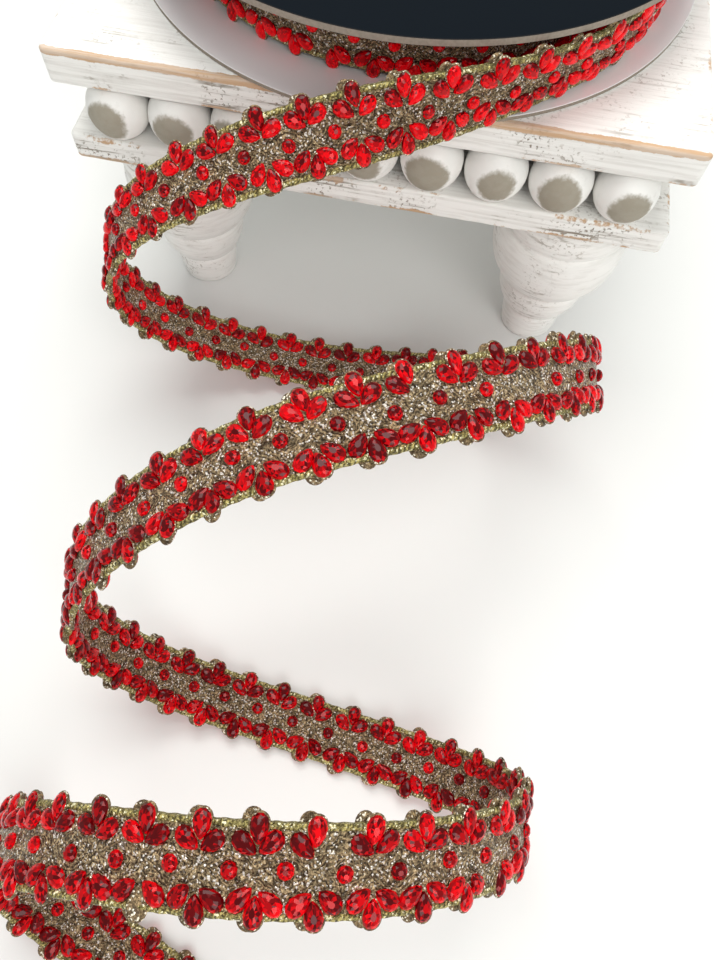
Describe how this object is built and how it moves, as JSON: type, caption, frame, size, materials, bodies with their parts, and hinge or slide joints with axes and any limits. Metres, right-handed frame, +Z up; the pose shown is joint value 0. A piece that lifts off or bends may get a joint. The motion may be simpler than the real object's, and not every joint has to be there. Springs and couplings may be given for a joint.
{
  "type": "roll of wired ribbon on a wooden riser stand",
  "caption": "Spool of wired ribbon trim set with red stones, on a whitewashed wooden riser, with its loose end looping down to the surface.",
  "frame": {"origin": "on the surface that the riser stands on, below the middle of the whole object's box", "axes": "+Z up; the front, where the loose end comes down, faces -Y; +X to the viewer's right"},
  "size_m": [0.2744, 0.6128, 0.1864],
  "materials": {
    "whitewash": "thin white paint with worn edges, grey cracks and bare tan patches, satin",
    "white_board": "smooth coated white board, slightly glossy, with a grey-brown cut rim",
    "dark_board": "smooth near-black board, slightly glossy, with a grey-brown cut rim",
    "metallic_braid": "champagne and gold metallic braid with red faceted stones on both faces"
  },
  "bodies": {
    "root": {"riser_lower_board": "whitewash", "riser_upper_board": "whitewash", "riser_leg_front_left": "whitewash", "riser_leg_front_right": "whitewash", "riser_leg_back_left": "whitewash", "riser_leg_back_right": "whitewash", "riser_ball_front_1": "whitewash", "riser_ball_front_2": "whitewash", "riser_ball_front_3": "whitewash", "riser_ball_front_4": "whitewash", "riser_ball_front_5": "whitewash", "riser_ball_front_6": "whitewash", "riser_ball_front_7": "whitewash", "riser_ball_front_8": "whitewash", "riser_ball_front_9": "whitewash", "riser_ball_back_1": "whitewash", "riser_ball_back_2": "whitewash", "riser_ball_back_3": "whitewash", "riser_ball_back_4": "whitewash", "riser_ball_back_5": "whitewash", "riser_ball_back_6": "whitewash", "riser_ball_back_7": "whitewash", "riser_ball_back_8": "whitewash", "riser_ball_back_9": "whitewash", "riser_ball_left_1": "whitewash", "riser_ball_left_2": "whitewash", "riser_ball_left_3": "whitewash", "riser_ball_left_4": "whitewash", "riser_ball_left_5": "whitewash", "riser_ball_left_6": "whitewash", "riser_ball_left_7": "whitewash", "riser_ball_left_8": "whitewash", "riser_ball_right_1": "whitewash", "riser_ball_right_2": "whitewash", "riser_ball_right_3": "whitewash", "riser_ball_right_4": "whitewash", "riser_ball_right_5": "whitewash", "riser_ball_right_6": "whitewash", "riser_ball_right_7": "whitewash", "riser_ball_right_8": "whitewash", "spool_flange_lower": "white_board", "spool_flange_upper": "dark_board", "ribbon_winding": "metallic_braid", "ribbon_tail": "metallic_braid"}
  },
  "joints": []
}
